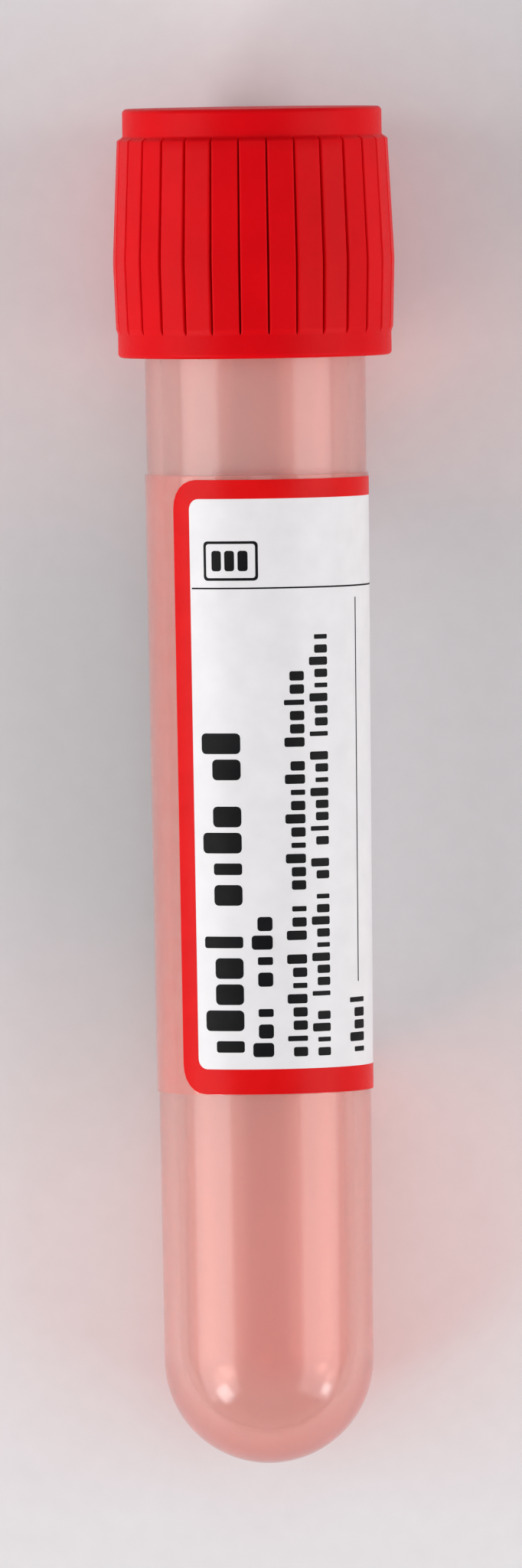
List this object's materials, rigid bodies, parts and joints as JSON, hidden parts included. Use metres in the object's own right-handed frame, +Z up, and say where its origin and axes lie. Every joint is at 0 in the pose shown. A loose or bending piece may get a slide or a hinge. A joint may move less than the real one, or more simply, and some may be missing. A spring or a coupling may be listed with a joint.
{
  "type": "specimen swab tube",
  "caption": "Round-ended translucent transport tube with a ribbed screw cap, a wrapped film label and pink liquid medium, for carrying a swab specimen.",
  "frame": {"origin": "on the ground under the middle of the tube's length, as it lies on its side", "axes": "+Y along the tube towards the cap, +Z up from the ground through the middle of the printed side, +X to the right of the label"},
  "size_m": [0.0208, 0.1002, 0.0207],
  "materials": {
    "tube_plastic": "moulded translucent polypropylene, slightly milky",
    "cap_plastic": "moulded opaque red polypropylene, semi-gloss",
    "plug_plastic": "moulded natural polyethylene, milky white",
    "label_film": "clear film with a white panel printed in red and black",
    "medium": "clear pink liquid"
  },
  "bodies": {
    "tube": {"tube": "tube_plastic", "label": "label_film", "transport_medium": "medium"},
    "cap": {"screw_cap": "cap_plastic", "cap_plug": "plug_plastic"}
  },
  "joints": [
    {"name": "cap_lift", "type": "slide", "parent": "tube", "child": "cap", "axis": [0, 0.9995, 0.0326], "range_m": [0, 0.035]}
  ]
}
